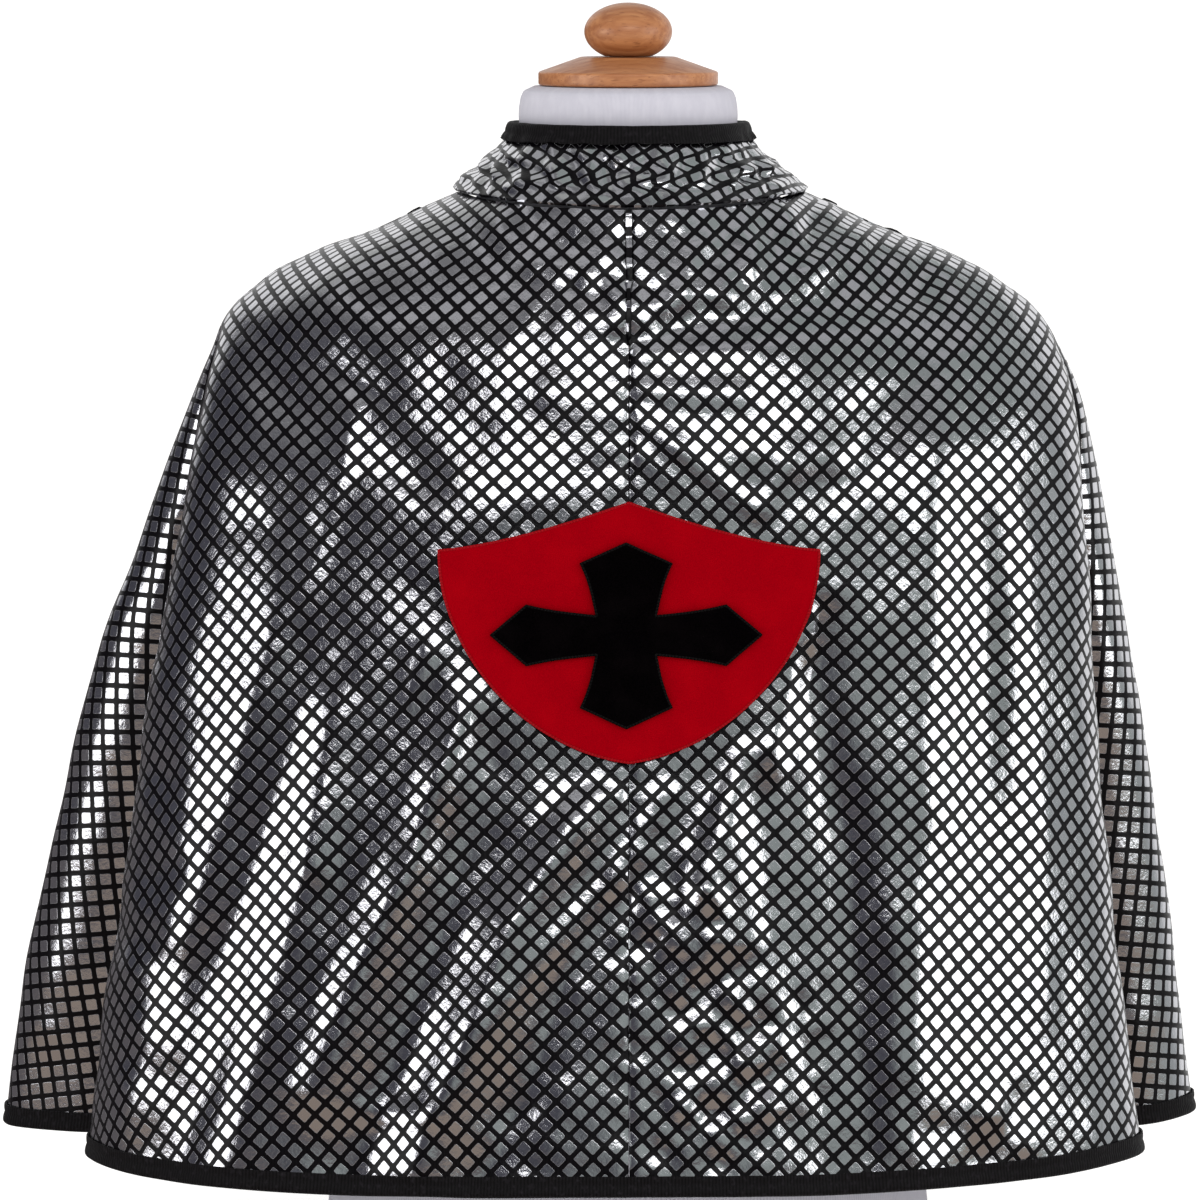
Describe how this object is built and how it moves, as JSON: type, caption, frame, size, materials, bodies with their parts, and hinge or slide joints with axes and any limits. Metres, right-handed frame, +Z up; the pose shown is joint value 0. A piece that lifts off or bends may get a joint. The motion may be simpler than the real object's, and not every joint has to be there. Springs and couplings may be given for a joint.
{
  "type": "reversible cape on a limbless dress form",
  "caption": "Child's reversible foil cape with a stand collar, bound edges and a shield and cross on the back, draped on a limbless dress form with a wooden neck cap and ball finial.",
  "frame": {"origin": "middle of the dress form's flat base", "axes": "+Z up along the form's axis; the wearer's back, with the shield, faces -Y; the wearer's left is at -X"},
  "size_m": [0.5093, 0.3266, 0.536],
  "materials": {
    "foil_cloth": "black knit with a grid of silver foil squares, plain black on the other side",
    "black_binding": "matte black knit binding",
    "red_felt": "matte red felt with a stitched edge",
    "black_felt": "matte black felt",
    "white_jersey": "fine white jersey stretched over the form",
    "beech": "turned beech, satin varnish"
  },
  "bodies": {
    "root": {"back_left": "foil_cloth", "back_right": "foil_cloth", "front_left": "foil_cloth", "front_right": "foil_cloth", "collar": "foil_cloth", "collar_binding": "black_binding", "hem_binding": "black_binding", "front_binding_left": "black_binding", "front_binding_right": "black_binding", "shield": "red_felt", "cross": "black_felt", "form_torso": "white_jersey", "neck_cap": "beech", "finial": "beech"}
  },
  "joints": []
}
